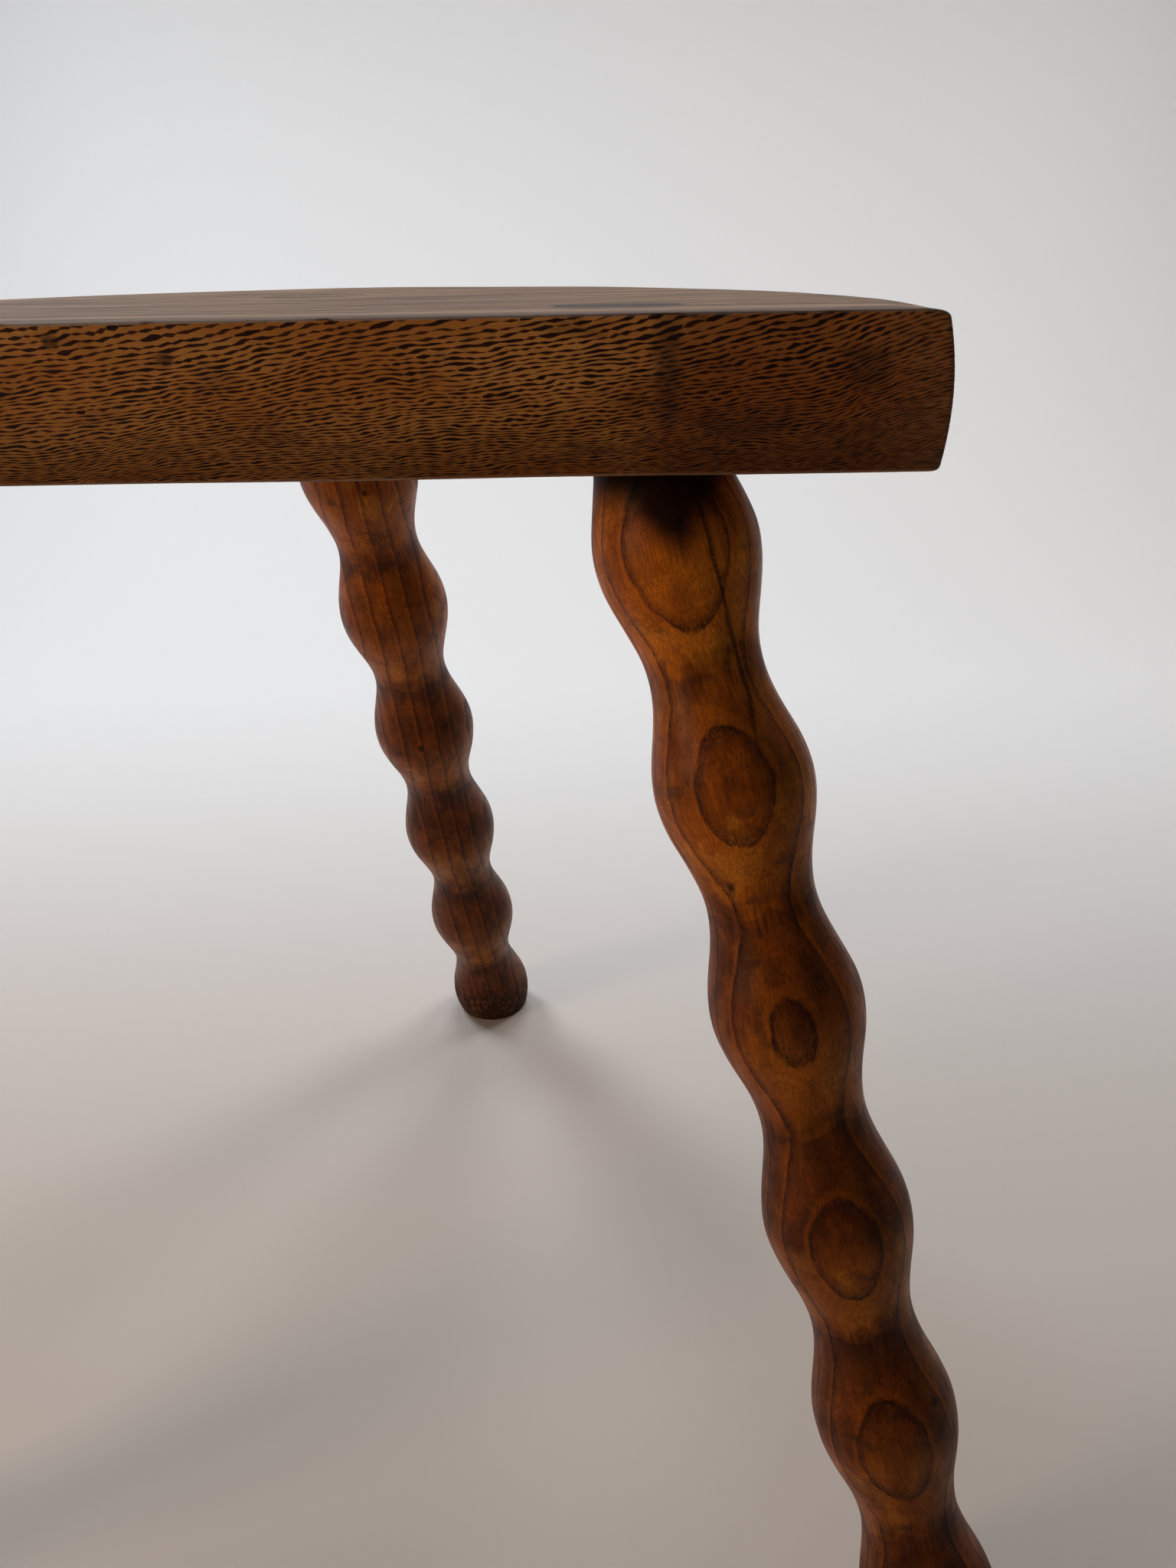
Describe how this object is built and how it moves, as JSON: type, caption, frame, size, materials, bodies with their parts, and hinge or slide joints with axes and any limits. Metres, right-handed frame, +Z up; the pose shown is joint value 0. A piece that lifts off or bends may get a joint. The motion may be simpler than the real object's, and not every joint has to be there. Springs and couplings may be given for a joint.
{
  "type": "three-legged stool",
  "caption": "Low wooden stool: a thick half-oval seat with a straight front edge, on splayed legs turned as strings of beads, each tenoned and wedged through the seat.",
  "frame": {"origin": "on the floor, at the centre of the stool's bounding box", "axes": "+Z up, +X along the straight front edge of the seat, +Y from the straight front edge to the rounded back"},
  "size_m": [0.45, 0.4114, 0.41],
  "materials": {
    "seat_wood": "satin varnish on the edge, worn matt and grey-brown on the top",
    "leg_wood": "semi-gloss varnish on turned wood",
    "wedge_wood": "bare end grain, worn matt"
  },
  "bodies": {
    "root": {"seat": "seat_wood", "leg_front_right": "leg_wood", "leg_front_left": "leg_wood", "leg_back": "leg_wood", "wedge_front_right": "wedge_wood", "wedge_front_left": "wedge_wood", "wedge_back": "wedge_wood"}
  },
  "joints": []
}
